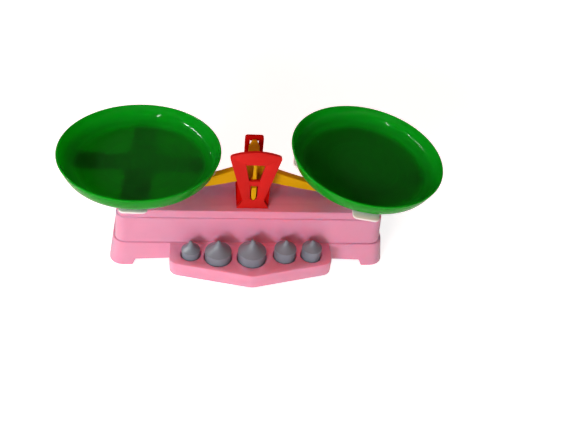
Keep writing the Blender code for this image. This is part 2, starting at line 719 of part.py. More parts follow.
def knife_mesh():
    """The knife edge: a bar that narrows to a round point, from the front plate to the rear post."""
    top = SLOT_HEIGHT - GAP - KNIFE_HEADROOM
    point = arc((0, 0), 1, math.pi, 2 * math.pi, 2 * ARC_STEPS)
    outline = [(KNIFE_HALF_WIDTH * x, KNIFE_POINT * (1 + z)) for x, z in point]
    outline += [(KNIFE_HALF_WIDTH, top), (-KNIFE_HALF_WIDTH, top)]
    front = -STAND_FRONT + GAP
    rear = STAND_REAR - GAP
    return prism([outline], rear - front, UPRIGHT_XZ, (0, (front + rear) / 2, 0))


def needle_mesh():
    """The front needle, just behind the front plate's window."""
    low = SLOT_HEIGHT - GAP - 2 * KNIFE_HEADROOM
    high = WINDOW_HIGH - KNIFE_Z - NEEDLE_CLEARANCE
    outline = filleted((
        (-NEEDLE_HALF_LOW, low, 0),
        (NEEDLE_HALF_LOW, low, 0),
        (NEEDLE_HALF_HIGH, high, NEEDLE_HALF_HIGH / 2),
        (-NEEDLE_HALF_HIGH, high, NEEDLE_HALF_HIGH / 2),
    ))
    front = -STAND_FRONT + STAND_PLATE + NEEDLE_CLEARANCE
    middle = front + NEEDLE_THICKNESS / 2
    return prism([outline], NEEDLE_THICKNESS, UPRIGHT_XZ, (0, middle, 0))


def tongue_mesh():
    """The rear tongue, just in front of the rear post's window."""
    low = SLOT_HEIGHT - GAP - 2 * KNIFE_HEADROOM
    high = REAR_WINDOW_HIGH + TONGUE_OVER_WINDOW - KNIFE_Z
    outline = filleted((
        (-TONGUE_HALF_LOW, low, 0),
        (TONGUE_HALF_LOW, low, 0),
        (TONGUE_HALF_LOW, high - TONGUE_TAPER, 0),
        (TONGUE_HALF_HIGH, high, TONGUE_HALF_HIGH / 2),
        (-TONGUE_HALF_HIGH, high, TONGUE_HALF_HIGH / 2),
        (-TONGUE_HALF_LOW, high - TONGUE_TAPER, 0),
    ))
    rear = STAND_REAR - STAND_PLATE - TONGUE_CLEARANCE
    middle = rear - TONGUE_THICKNESS / 2
    return prism([outline], TONGUE_THICKNESS, UPRIGHT_XZ, (0, middle, 0))


def beam(knife):
    arms = add_part('beam', beam_arms_mesh(), YELLOW, parent=knife)
    round_edges(arms, BEAM_EDGE)
    join(arms, knife_mesh())
    join(arms, needle_mesh())
    join(arms, tongue_mesh())


def headed_pin(name, half, hole, location, parent=None):
    """A pin along Y between two heads that are wider than the hole under them."""
    end = half + PIN_HEAD_THICKNESS
    head = hole + PIN_HEAD_LIP
    profile = [
        (0, end),
        (head, end),
        (head, half),
        (PIN_RADIUS, half),
        (PIN_RADIUS, -half),
        (head, -half),
        (head, -end),
        (0, -end),
    ]
    return turned(name, profile, WHITE, PIN_STEPS, location, (math.pi / 2, 0, 0), parent)


def cross_outline():
    """Four arms with rounded ends and hollowed crotches."""
    half = CARRIER_ARM_HALF
    reach = CARRIER_REACH
    arm = [
        (half, -reach, CARRIER_ARM_CORNER),
        (half, -half, CARRIER_CROTCH),
        (reach, -half, CARRIER_ARM_CORNER),
    ]
    corners = []
    for quarter in range(4):
        turn = Matrix.Rotation(quarter * math.pi / 2, 2)
        for x, y, radius in arm:
            corners.append((*(turn @ Vector((x, y))), radius))
    return filleted(corners)


def cheek_mesh(side):
    """One side of a carrier's stem, with the beam pin's hole and the stay pin's hole."""
    half = CHEEK_WIDTH / 2
    root = CARRIER_RISE - CARRIER_PLATE / 2
    outline = [(half, root), (-half, root)]
    outline += arc((0, -LINK_DROP), half, math.pi, 2 * math.pi, 2 * ARC_STEPS)
    holes = [circle((0, 0), CARRIER_HOLE), circle((0, -LINK_DROP), PIN_HOLE)]
    middle = side * (CHEEK_INNER + CHEEK_OUTER) / 2
    return prism([outline] + holes, CHEEK_THICKNESS, UPRIGHT_XZ, (0, middle, 0))


def arm_rib_outline():
    """A rib under two opposite arms, deepest at the stem."""
    root = CARRIER_RISE - CARRIER_PLATE / 2
    under = CARRIER_RISE - CARRIER_PLATE
    tip = CARRIER_REACH - CARRIER_ARM_CORNER
    deep = under - CARRIER_RIB_DEPTH
    half = CHEEK_WIDTH / 2
    return [
        (tip, root),
        (-tip, root),
        (-tip, under - CARRIER_RIB_TIP),
        (-half, deep),
        (half, deep),
        (tip, under - CARRIER_RIB_TIP),
    ]


def pan_carrier(name, hanger):
    middle = CARRIER_RISE - CARRIER_PLATE / 2
    plate = prism([cross_outline()], CARRIER_PLATE, offset=(0, 0, middle))
    carrier = add_part(name, plate, WHITE, parent=hanger)
    round_edges(carrier, CARRIER_EDGE)
    for turn in (UPRIGHT_XZ, UPRIGHT_YZ):
        join(carrier, prism([arm_rib_outline()], CARRIER_RIB, turn))
    for side in (-1, 1):
        join(carrier, cheek_mesh(side))
    half = CHEEK_WEB / 2
    reach = (CHEEK_INNER + CHEEK_OUTER) / 2
    low = -LINK_DROP + CHEEK_WEB_MARGIN
    join(carrier, box((-half, -reach, low), (half, reach, -CHEEK_WEB_MARGIN)))


def pan_cove(rim, floor, radius):
    """The arc that leads a pan's level floor up into the flared wall below a rim."""
    sweep = math.pi / 2 - PAN_FLARE
    top = floor + radius * (1 - math.cos(sweep))
    wall_foot = rim - (PAN_HEIGHT - top) * math.tan(PAN_FLARE)
    center = (wall_foot - radius * math.sin(sweep), floor + radius)
    return arc(center, radius, -math.pi / 2, -PAN_FLARE, ARC_STEPS)


def pan_profile():
    """Half section of a pan: inside from the middle out, over the rim and down the outside."""
    rim_inside = PAN_RADIUS - PAN_WALL / math.cos(PAN_FLARE)
    inside = pan_cove(rim_inside, PAN_WALL, PAN_COVE_INSIDE)
    outside = pan_cove(PAN_RADIUS, 0, PAN_COVE_OUTSIDE)[::-1]
    lip = PAN_WALL / 4
    rim = [
        (rim_inside, PAN_HEIGHT - lip),
        (rim_inside + lip, PAN_HEIGHT),
        (PAN_RADIUS - lip, PAN_HEIGHT),
        (PAN_RADIUS, PAN_HEIGHT - lip),
    ]
    return [(0, PAN_WALL)] + inside + rim + outside + [(0, 0)]


def pan(name, hanger, shift):
    seat = CARRIER_RISE + GAP
    return turned(name, pan_profile(), GREEN, PAN_STEPS, (*shift, seat), parent=hanger)


def weight_profile(radius, shoulder, tip):
    """Half section of a weight: a round tip, a hollow cone and a straight body."""
    edge = radius - WEIGHT_ROUND
    neck = tip - WEIGHT_TIP_RADIUS
    points = [(0, tip)] + arc((0, neck), WEIGHT_TIP_RADIUS, math.pi / 2, 0, ARC_STEPS)[1:]
    for step in range(1, WEIGHT_CONE_POINTS):
        share = step / WEIGHT_CONE_POINTS
        spread = (edge - WEIGHT_TIP_RADIUS) * share ** WEIGHT_CONE_HOLLOW
        points.append((WEIGHT_TIP_RADIUS + spread, neck - (neck - shoulder) * share))
    foot = GAP - SOCKET_DEPTH
    points += [
        (edge, shoulder),
        (radius, shoulder - WEIGHT_ROUND),
        (radius, foot + WEIGHT_ROUND),
        (radius - WEIGHT_ROUND, foot),
        (0, foot),
    ]
    return points


def weights():
    for number, (radius, shoulder, tip, x) in enumerate(WEIGHTS, start=1):
        place = (*weight_center(radius, x), SKIRT_HEIGHT)
        turned(f'weight_{number}', weight_profile(radius, shoulder, tip), GREY, WEIGHT_STEPS, place)


def lower_stay(middle):
    """A flat link with a slot at each end, long enough for the carriers to rock a little."""
    slot = PIN_RADIUS + STAY_PLAY
    reach = ARM_LENGTH + STAY_SLACK + slot + STAY_SLOT_WALL
    half = STAY_HEIGHT / 2
    outline = filleted((
        (0, -half, 0),
        (reach, BEAM_END_RISE - half, half / 2),
        (reach, BEAM_END_RISE + half, half / 2),
        (0, half, 0),
        (-reach, BEAM_END_RISE + half, half / 2),
        (-reach, BEAM_END_RISE - half, half / 2),
    ))
    loops = [outline, circle((0, 0), PIN_HOLE)]
    for side in (-1, 1):
        loops.append(slot_loop((side * ARM_LENGTH, BEAM_END_RISE), STAY_SLACK, slot))
    add_part('lower_stay', prism(loops, STAY_THICKNESS, UPRIGHT_XZ), WHITE, parent=middle)


def stand_screws():
    head_top = BASE_HEIGHT - BASE_WALL - GAP
    length = KNIFE_Z - SCREW_BOSS_ROOM - GAP - head_top
    profile = [
        (0, length),
        (SCREW_RADIUS / 2, length),
        (SCREW_RADIUS, length - SCREW_RADIUS),
        (SCREW_RADIUS, 0),
        (SCREW_HEAD_RADIUS, 0),
        (SCREW_HEAD_CROWN, -SCREW_HEAD_THICKNESS),
        (0, -SCREW_HEAD_THICKNESS),
    ]
    for end, place in screw_places().items():
        turned(f'stand_screw_{end}', profile, STEEL, PIN_STEPS, (*place, head_top))


def main():
    base_housing()
    weight_tray()
    stand_front_plate()
    stand_rear_frame()
    stand_screws()
    weights()
    knife = pivot('beam_knife_edge', (0, 0, KNIFE_Z))
    beam(knife)
    middle = pivot('stay_pivot', (0, 0, STAY_Z))
    lower_stay(middle)
    headed_pin('stay_center_pin', HANGER_OUTER + GAP, PIN_HOLE, (0, 0, STAY_Z))
    ends = (
        ('left', -ARM_LENGTH, (0, 0, CARRIER_YAW_LEFT), PAN_SHIFT_LEFT),
        ('right', ARM_LENGTH, (CARRIER_DIP_RIGHT, CARRIER_ROCK_RIGHT, CARRIER_YAW_RIGHT),
         PAN_SHIFT_RIGHT),
    )
    for side, x, turn, shift in ends:
        hanger = pivot(f'carrier_pivot_{side}', (x, 0, BEAM_END_RISE), turn, knife)
        pan_carrier(f'pan_carrier_{side}', hanger)
        pan(f'pan_{side}', hanger, shift)
        headed_pin(f'beam_pin_{side}', CHEEK_OUTER + BEAM_PIN_PLAY, CARRIER_HOLE,
                   (x, 0, BEAM_END_RISE), knife)
        headed_pin(f'stay_pin_{side}', CHEEK_OUTER + GAP, PIN_HOLE, (0, 0, -LINK_DROP), hanger)


main()
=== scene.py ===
"""Studio scene of the toy balance scale: soft-edged moulded pieces around the solids, white floor.

Lengths are in metres and powers in watts. The front of the toy faces -Y.
"""
import json
import math

import bmesh
import bpy
from mathutils import Matrix, Vector


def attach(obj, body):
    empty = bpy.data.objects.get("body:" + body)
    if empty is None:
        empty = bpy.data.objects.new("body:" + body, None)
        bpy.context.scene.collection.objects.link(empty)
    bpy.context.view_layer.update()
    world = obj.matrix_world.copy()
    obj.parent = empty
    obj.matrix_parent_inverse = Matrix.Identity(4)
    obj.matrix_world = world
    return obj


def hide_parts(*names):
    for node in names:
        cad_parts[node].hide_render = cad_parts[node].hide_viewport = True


MM = 0.001
UP = Vector((0, 0, 1))

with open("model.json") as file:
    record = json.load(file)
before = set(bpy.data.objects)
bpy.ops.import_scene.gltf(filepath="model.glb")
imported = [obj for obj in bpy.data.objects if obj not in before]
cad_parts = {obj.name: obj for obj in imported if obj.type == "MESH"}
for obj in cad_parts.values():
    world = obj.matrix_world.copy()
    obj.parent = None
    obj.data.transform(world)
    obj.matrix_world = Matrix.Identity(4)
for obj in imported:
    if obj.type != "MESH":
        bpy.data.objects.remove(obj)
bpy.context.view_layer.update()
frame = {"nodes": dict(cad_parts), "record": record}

# Photograph's frame and the camera fitted to it, with the sensor in millimetres
IMAGE_WIDTH = 577
FOCAL_PIXELS = 700
SENSOR_WIDTH = 36.0
CAMERA_PLACE = Vector((-49.39, -490.45, 469.74)) * MM
CAMERA_PITCH = math.radians(41.13)
CAMERA_YAW = math.radians(9.96)
CAMERA_ROLL = math.radians(7.29)
CAMERA_CLIP = 10.0 * MM

# Lamps and windows: degrees to the right of the toy's front, degrees up, distance, width, height,
# power and colour
LIGHTS_AIM = Vector((0, 0, 70.0)) * MM
PLAIN_LIGHT = (1, 1, 1)
RED_LIGHT = (1.0, 0.23, 0.15)
LAMPS = {
    "key": (-27, 15, 1.7, 0.45, 0.40, 16.0, PLAIN_LIGHT),
    "soft": (-8, 13, 1.7, 1.60, 0.40, 7.0, PLAIN_LIGHT),
    "side": (-88, 22, 1.7, 0.60, 0.30, 6.0, PLAIN_LIGHT),
    "back": (150, 20, 1.7, 0.60, 0.40, 3.5, PLAIN_LIGHT),
    "fill": (-33, 72, 1.5, 1.20, 1.20, 12.0, RED_LIGHT),
}
WINDOWS = {
    "front_window": (-29, 27, 1.7, 0.09, 0.50, 12.0, PLAIN_LIGHT),
    "left_window": (-71, 24.5, 1.7, 0.24, 0.09, 8.0, PLAIN_LIGHT),
    "far_left_window": (-94.3, 26, 1.7, 0.64, 0.09, 16.0, PLAIN_LIGHT),
    "back_left_window": (-132, 15, 1.7, 0.05, 0.12, 0.6, PLAIN_LIGHT),
}

# Room: its strength as a lamp, and the rise of a direction (1 is straight up) at which the white
# walls start to fade and at which the dark ceiling is reached
ROOM_LAMP = 0.03
WALL_RISE = 0.02
CEILING_RISE = 0.12

# Floor: its glow as a lamp, its glow as seen near the toy, and the distances from the middle
# between which that rises to full white
FLOOR_LAMP = 0.1
FLOOR_WHITE = 0.77
FLOOR_NEAR = 0.4
FLOOR_FAR = 1.3
FLOOR_REACH = 4.0
FLOOR_COLOR = (0.85, 0.85, 0.85)
FLOOR_ROUGH = 0.9
FLOOR_GLOSS = 0.1

# Copies of the solids, with their sharp edges rounded off
WELD = 0.01 * MM
SHORT = 0.25 * MM
FLAT = math.radians(0.2)
SHARP = math.radians(35)
SMOOTH = math.radians(40)
ROUND_PROFILE = 0.5
EDGE_ROUND = 0.3 * MM
EDGE_FACETS = 2
HOUSING_ROUND = 0.9 * MM
HOUSING_FACETS = 4
SCREW_ROUND = 0.2 * MM

# Pans, measured like the solids
PAN_RADIUS = 68.7 * MM
PAN_HEIGHT = 17.0 * MM
PAN_WALL = 1.7 * MM
PAN_COVE_INSIDE = 14.0 * MM
PAN_COVE_OUTSIDE = 10.7 * MM
PAN_FLARE = math.radians(18)
PAN_STEPS = 144
COVE_STEPS = 14
LIP_STEPS = 8
PAN_LEFT_PLACE = Vector((-97.48, -1.80, 94.3)) * MM
PAN_RIGHT_PLACE = Vector((99.20, 1.31, 94.38)) * MM
PAN_LEFT_AXIS = UP
PAN_RIGHT_AXIS = Vector((0.0759, -0.0673, 0.9948))

# Weights, measured like the solids from the tray's top, with a finer tip:
# place, radius, shoulder and tip
TRAY_TOP = 27.0 * MM
WEIGHT_FOOT = -8.7 * MM
WEIGHT_ROUND = 0.45 * MM
WEIGHT_SHOULDER_TURN = math.radians(60)
WEIGHT_TIP_RADIUS = 1.7 * MM
WEIGHT_CONE_HOLLOW = 1.5
WEIGHT_CONE_POINTS = 24
WEIGHT_STEPS = 72
WEIGHTS = {
    "weight_1": (-54.1 * MM, -42.76 * MM, 8.2 * MM, 6.4 * MM, 15.6 * MM),
    "weight_2": (-29.9 * MM, -46.26 * MM, 11.7 * MM, 7.8 * MM, 19.6 * MM),
    "weight_3": (0.0, -47.06 * MM, 12.5 * MM, 9.0 * MM, 21.6 * MM),
    "weight_4": (29.9 * MM, -44.36 * MM, 9.8 * MM, 9.8 * MM, 18.9 * MM),
    "weight_5": (54.1 * MM, -43.51 * MM, 8.95 * MM, 10.2 * MM, 18.2 * MM),
}

# Plastics: colour, roughness, gloss, and the share of the colour that its darker patches keep
PLASTICS = {
    "moulded_pink": ((0.735, 0.29, 0.457), 0.55, 0.40, 0.95),
    "moulded_red": ((0.54, 0.010, 0.007), 0.38, 0.15, 0.90),
    "moulded_deep_red": ((0.44, 0.003, 0.002), 0.38, 0.00, 0.90),
    "moulded_yellow": ((0.625, 0.35, 0.001), 0.36, 0.10, 0.90),
    "moulded_white": ((0.80, 0.80, 0.78), 0.40, 0.35, 0.96),
    "moulded_grey": ((0.168, 0.215, 0.260), 0.36, 0.50, 0.85),
}

# Unevenness of the plastics: noise scales per metre, and how far the noise takes each look
NOISE_DETAIL = 3.0
TINT_NOISE = 45
TINT_START = 0.3
TINT_END = 0.7
ROUGH_NOISE = 120
ROUGH_LESS = 0.05
ROUGH_MORE = 0.08
GRAIN_NOISE = 1400
GRAIN_DEPTH = 0.05 * MM
GRAIN_STRENGTH = 0.4

# Pink: how deep light reaches, the share of that depth for each colour, and the clear skin
PINK_DEPTH = 2.5 * MM
PINK_SHARES = (1.0, 0.2, 0.2)
PINK_SKIN_INDEX = 1.8
PINK_SKIN_ROUGH = 0.6

# Green of the pans, which changes from floor to wall between two distances from the middle; the
# floor's darker green is painted shade and the walls' lighter green is painted light
GREEN_FLOOR_END = 50.0 * MM
GREEN_WALL_START = 57.0 * MM
GREEN_DARK = (0.002, 0.15, 0.004)
GREEN_LIGHT = (0.003, 0.26, 0.010)
# How far towards the light green each part goes: painted shade on the floor, painted light on the
# walls
GREEN_FLOOR_PAINTED_SHADE = 0.2
GREEN_WALL_PAINTED_LIGHT = 0.6
GREEN_RING_NOISE = 240
GREEN_RING_TINT = 0.2
GREEN_FLOOR_ROUGH = 0.9
GREEN_WALL_ROUGH = 0.07
GREEN_GLOSS = 0.1
GREEN_DEPTH = 11.0 * MM
GREEN_SHARES = (0.1, 1.0, 0.2)
GREEN_GRAIN_NOISE = 500
GREEN_GRAIN_DEPTH = 0.02 * MM

# Dense green: how deep light reaches in the middle, and the distance at which that starts to grow
DENSE_DEPTH = 2.5 * MM
DENSE_END = 25.0 * MM

# Steel of the screws
STEEL_DARK = (0.42, 0.42, 0.43)
STEEL_LIGHT = (0.62, 0.62, 0.63)
STEEL_TINT_NOISE = 900
STEEL_ROUGH_NOISE = 700
STEEL_ROUGH_LOW = 0.25
STEEL_ROUGH_HIGH = 0.45


def body_of_node(node):
    """The body that a solid belongs to."""
    for body, nodes in frame["record"]["behaviour"]["bodies"].items():
        if node in nodes:
            return body
    raise KeyError(node)


def finish_piece(obj, node, material):
    """Dress a piece, let it stand for its solid and ride the solid's body."""
    obj.data.materials.clear()
    obj.data.materials.append(material)
    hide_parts(node)
    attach(obj, body_of_node(node))


def edge_chains(edges):
    """Edges sorted into groups that touch each other."""
    waiting = set(edges)
    chains = []
    for first in edges:
        if first not in waiting:
            continue
        waiting.discard(first)
        chain = [first]
        for edge in chain:
            for vertex in edge.verts:
                beside = [other for other in vertex.link_edges if other in waiting]
                waiting.difference_update(beside)
                chain.extend(beside)
        chains.append(chain)
    return chains


def round_off(body, width, facets):
    """Round each chain of sharp edges by itself, so that a short one doesn't thin the others."""
    bmesh.ops.dissolve_degenerate(body, dist=SHORT, edges=body.edges)
    sharp = [edge for edge in body.edges if edge.calc_face_angle(0.0) > SHARP]
    for chain in edge_chains(sharp):
        bmesh.ops.bevel(body, geom=chain, offset=width, offset_type="OFFSET", segments=facets,
                        profile=ROUND_PROFILE, affect="EDGES", clamp_overlap=True)
    bmesh.ops.remove_doubles(body, verts=body.verts, dist=WELD)


def soften(node, material, width=EDGE_ROUND, facets=EDGE_FACETS):
    """Copy a solid and round off its sharp edges, or leave them as they are if the width is 0."""
    body = bmesh.new()
    body.from_mesh(frame["nodes"][node].data)
    bmesh.ops.remove_doubles(body, verts=body.verts, dist=WELD)
    bmesh.ops.dissolve_limit(body, angle_limit=FLAT, verts=body.verts, edges=body.edges)
    if width:
        round_off(body, width, facets)
    mesh = bpy.data.meshes.new(node + "_soft")
    body.to_mesh(mesh)
    body.free()
    mesh.shade_smooth()
    mesh.set_sharp_from_angle(angle=SMOOTH)
    obj = bpy.data.objects.new(node + "_soft", mesh)
    bpy.context.scene.collection.objects.link(obj)
    finish_piece(obj, node, material)


def arc(center, radius, start, end, steps):
    """Points on an arc, both ends included."""
    angles = [start + (end - start) * step / steps for step in range(steps + 1)]
    return [(center[0] + radius * math.cos(a), center[1] + radius * math.sin(a)) for a in angles]


def pan_cove(rim, floor, radius):
    """The arc that leads a pan's level floor up into the flared wall below a rim."""
    sweep = math.pi / 2 - PAN_FLARE
    top = floor + radius * (1 - math.cos(sweep))
    wall_foot = rim - (PAN_HEIGHT - top) * math.tan(PAN_FLARE)
    center = (wall_foot - radius * math.sin(sweep), floor + radius)
    return arc(center, radius, -math.pi / 2, -PAN_FLARE, COVE_STEPS)


def pan_profile():
    """Half section of a pan: inside from the middle out, round the rim and down the outside."""
    rim_inside = PAN_RADIUS - PAN_WALL / math.cos(PAN_FLARE)
    inside = pan_cove(rim_inside, PAN_WALL, PAN_COVE_INSIDE)
    outside = pan_cove(PAN_RADIUS, 0, PAN_COVE_OUTSIDE)[::-1]
    lip = (PAN_RADIUS - rim_inside) / 2
    rim = arc((rim_inside + lip, PAN_HEIGHT - lip), lip, math.pi, 0, LIP_STEPS)
    return [(0, PAN_WALL)] + inside + rim + outside + [(0, 0)]


def weight_profile(radius, shoulder, tip):
    """Half section of a weight: a round tip, a hollow cone, a rounded shoulder and the body."""
    neck = tip - WEIGHT_TIP_RADIUS
    edge = radius - WEIGHT_ROUND
    points = [(0, tip)] + arc((0, neck), WEIGHT_TIP_RADIUS, math.pi / 2, 0, LIP_STEPS)[1:]
    for step in range(1, WEIGHT_CONE_POINTS):
        share = step / WEIGHT_CONE_POINTS
        spread = (edge - WEIGHT_TIP_RADIUS) * share ** WEIGHT_CONE_HOLLOW
        points.append((WEIGHT_TIP_RADIUS + spread, neck - (neck - shoulder) * share))
    shoulder_center = (edge, shoulder - WEIGHT_ROUND)
    points += arc(shoulder_center, WEIGHT_ROUND, WEIGHT_SHOULDER_TURN, 0, LIP_STEPS)
    points += [(radius, WEIGHT_FOOT + WEIGHT_ROUND), (edge, WEIGHT_FOOT), (0, WEIGHT_FOOT)]
    return points


def turned(name, profile, steps):
    """A solid of revolution about Z from a profile of (radius, height)."""
    mesh = bpy.data.meshes.new(name)
    points = [(radius, 0, height) for radius, height in profile]
    edges = [(index, index + 1) for index in range(len(points) - 1)]
    mesh.from_pydata(points, edges, [])
    obj = bpy.data.objects.new(name, mesh)
    bpy.context.scene.collection.objects.link(obj)
    screw = obj.modifiers.new("Turned", "SCREW")
    screw.angle = 2 * math.pi
    screw.steps = steps
    screw.render_steps = steps
    screw.use_merge_vertices = True
    screw.merge_threshold = WELD
    screw.use_smooth_shade = True
    return obj


def make_pan(side, place, axis, material):
    """Turn a pan and set it on its carrier, along the given axis."""
    obj = turned(f"pan_{side}_dish", pan_profile(), PAN_STEPS)
    tilt = UP.rotation_difference(axis)
    obj.matrix_world = Matrix.Translation(place) @ tilt.to_matrix().to_4x4()
    bpy.context.view_layer.update()
    finish_piece(obj, f"pan_{side}", material)


def make_weights(material):
    """Turn the five weights and set them in their sockets."""
    for node, (x, y, radius, shoulder, tip) in WEIGHTS.items():
        obj = turned(node + "_turned", weight_profile(radius, shoulder, tip), WEIGHT_STEPS)
        obj.matrix_world = Matrix.Translation((x, y, TRAY_TOP))
        bpy.context.view_layer.update()
        finish_piece(obj, node, material)


def new_material(name):
    """A material with its node tree and its shader."""
    material = bpy.data.materials.new(name)
    material.use_nodes = True
    tree = material.node_tree
    return material, tree, tree.nodes["Principled BSDF"]


def math_node(tree, operation, first, second):
    """Two values of a tree, put together by a plain operation."""
    node = tree.nodes.new("ShaderNodeMath")
    node.operation = operation
    tree.links.new(first, node.inputs[0])
    tree.links.new(second, node.inputs[1])
    return node.outputs["Value"]


def spread_node(tree, value, low, high, start=0.0, end=1.0):
    """A value mapped from start..end to low..high."""
    node = tree.nodes.new("ShaderNodeMapRange")
    node.inputs["From Min"].default_value = start
    node.inputs["From Max"].default_value = end
    node.inputs["To Min"].default_value = low
    node.inputs["To Max"].default_value = high
    tree.links.new(value, node.inputs["Value"])
    return node.outputs["Result"]


def noise_node(tree, scale):
    """Noise on the object's own coordinates, with a scale per metre."""
    place = tree.nodes.new("ShaderNodeTexCoord")
    noise = tree.nodes.new("ShaderNodeTexNoise")
    noise.inputs["Scale"].default_value = scale
    noise.inputs["Detail"].default_value = NOISE_DETAIL
    tree.links.new(place.outputs["Object"], noise.inputs["Vector"])
    return noise.outputs["Fac"]


def reach_node(tree):
    """The distance from the middle of a piece."""
    place = tree.nodes.new("ShaderNodeTexCoord")
    reach = tree.nodes.new("ShaderNodeVectorMath")
    reach.operation = "LENGTH"
    tree.links.new(place.outputs["Object"], reach.inputs[0])
    return reach.outputs["Value"]


def ring_noise(tree, scale):
    """Noise in rings about a pan's middle."""
    noise = tree.nodes.new("ShaderNodeTexNoise")
    noise.noise_dimensions = "1D"
    noise.inputs["Scale"].default_value = scale
    tree.links.new(reach_node(tree), noise.inputs["W"])
    return noise.outputs["Fac"]


def tinted(tree, value, low, high):
    """A colour that wanders between two near tints."""
    ramp = tree.nodes.new("ShaderNodeValToRGB")
    ramp.color_ramp.elements[0].position = TINT_START
    ramp.color_ramp.elements[0].color = (*low, 1)
    ramp.color_ramp.elements[1].position = TINT_END
    ramp.color_ramp.elements[1].color = (*high, 1)
    tree.links.new(value, ramp.inputs["Fac"])
    return ramp.outputs["Color"]


def add_grain(tree, shader, scale, depth):
    """The fine texture of a moulding tool."""
    bump = tree.nodes.new("ShaderNodeBump")
    bump.inputs["Strength"].default_value = GRAIN_STRENGTH
    bump.inputs["Distance"].default_value = depth
    tree.links.new(noise_node(tree, scale), bump.inputs["Height"])
    tree.links.new(bump.outputs["Normal"], shader.inputs["Normal"])


def add_rough_range(tree, shader, scale, low, high):
    """A roughness that wanders between two values."""
    rough = spread_node(tree, noise_node(tree, scale), low, high)
    tree.links.new(rough, shader.inputs["Roughness"])


def let_through(shader, shares, depth):
    """Let a plastic pass light: how deep, and the share of that depth for each colour."""
    shader.inputs["Subsurface Weight"].default_value = 1.0
    shader.inputs["Subsurface Radius"].default_value = shares
    shader.inputs["Subsurface Scale"].default_value = depth


def add_skin(shader, index, rough):
    """A clear skin: upright faces mirror the pale floor in it, level ones the dim ceiling."""
    shader.inputs["Coat Weight"].default_value = 1.0
    shader.inputs["Coat IOR"].default_value = index
    shader.inputs["Coat Roughness"].default_value = rough


def plastic(name):
    """Moulded plastic: a slightly uneven colour, uneven gloss and a fine grain."""
    color, rough, gloss, shade = PLASTICS[name]
    material, tree, shader = new_material(name)
    darker = [channel * shade for channel in color]
    tint = tinted(tree, noise_node(tree, TINT_NOISE), darker, color)
    tree.links.new(tint, shader.inputs["Base Color"])
    shader.inputs["Specular IOR Level"].default_value = gloss
    add_rough_range(tree, shader, ROUGH_NOISE, rough - ROUGH_LESS, rough + ROUGH_MORE)
    add_grain(tree, shader, GRAIN_NOISE, GRAIN_DEPTH)
    return material


def skinned_plastic(name):
    """Moulded plastic that lets a little light through below a dull clear skin."""
    material = plastic(name)
    shader = material.node_tree.nodes["Principled BSDF"]
    let_through(shader, PINK_SHARES, PINK_DEPTH)
    add_skin(shader, PINK_SKIN_INDEX, PINK_SKIN_ROUGH)
    return material


def pan_spread(tree, floor, wall):
    """A value that changes from a pan's floor to its wall."""
    return spread_node(tree, reach_node(tree), floor, wall, GREEN_FLOOR_END, GREEN_WALL_START)


def green_plastic(name):
    """Green that lets light through, with faint rings, glossy walls and a floor whose gloss is dulled
    by use; its floor is darkened as painted shade and its walls lightened as painted light.
    """
    material, tree, shader = new_material(name)
    rings = spread_node(tree, ring_noise(tree, GREEN_RING_NOISE), 0.0, GREEN_RING_TINT)
    # Painted shade darkens the floor and painted light brightens the walls, with the faint rings
    # added on top
    shade = math_node(tree, "ADD", pan_spread(tree, GREEN_FLOOR_PAINTED_SHADE, GREEN_WALL_PAINTED_LIGHT), rings)
    tint = tinted(tree, shade, GREEN_DARK, GREEN_LIGHT)
    tree.links.new(tint, shader.inputs["Base Color"])
    rough = pan_spread(tree, GREEN_FLOOR_ROUGH, GREEN_WALL_ROUGH)
    tree.links.new(rough, shader.inputs["Roughness"])
    shader.inputs["Specular IOR Level"].default_value = GREEN_GLOSS
    let_through(shader, GREEN_SHARES, GREEN_DEPTH)
    add_grain(tree, shader, GREEN_GRAIN_NOISE, GREEN_GRAIN_DEPTH)
    return material


def dense_green_plastic(name):
    """Green of a pan that lets less light through the nearer it is to the middle."""
    material = green_plastic(name)
    tree = material.node_tree
    shader = tree.nodes["Principled BSDF"]
    depth = spread_node(tree, reach_node(tree), DENSE_DEPTH, GREEN_DEPTH, DENSE_END, PAN_RADIUS)
    tree.links.new(depth, shader.inputs["Subsurface Scale"])
    return material


def steel(name):
    """Bare steel with a faintly uneven colour and gloss."""
    material, tree, shader = new_material(name)
    tint = tinted(tree, noise_node(tree, STEEL_TINT_NOISE), STEEL_DARK, STEEL_LIGHT)
    tree.links.new(tint, shader.inputs["Base Color"])
    shader.inputs["Metallic"].default_value = 1.0
    add_rough_range(tree, shader, STEEL_ROUGH_NOISE, STEEL_ROUGH_LOW, STEEL_ROUGH_HIGH)
    return material


PINK = skinned_plastic("moulded_pink")
RED = plastic("moulded_red")
DEEP_RED = plastic("moulded_deep_red")
YELLOW = plastic("moulded_yellow")
WHITE = plastic("moulded_white")
GREY = plastic("moulded_grey")
GREEN = green_plastic("glossy_green")
DENSE_GREEN = dense_green_plastic("glossy_green_dense")
STEEL = steel("plain_steel")


def dress_mouldings():
    """Soft copies of all solids but pans and weights. The front plate's edges are round already."""
    soften("base_housing", PINK, HOUSING_ROUND, HOUSING_FACETS)
    soften("weight_tray", PINK)
    soften("stand_front_plate", RED, 0)
    soften("stand_rear_frame", DEEP_RED)
    soften("beam", YELLOW)
    soften("lower_stay", WHITE)
    for side in ("left", "right"):
        for piece in ("pan_carrier", "beam_pin", "stay_pin"):
            soften(f"{piece}_{side}", WHITE)
    soften("stay_center_pin", WHITE)
    for end in ("front", "rear"):
        soften(f"stand_screw_{end}", STEEL, SCREW_ROUND)


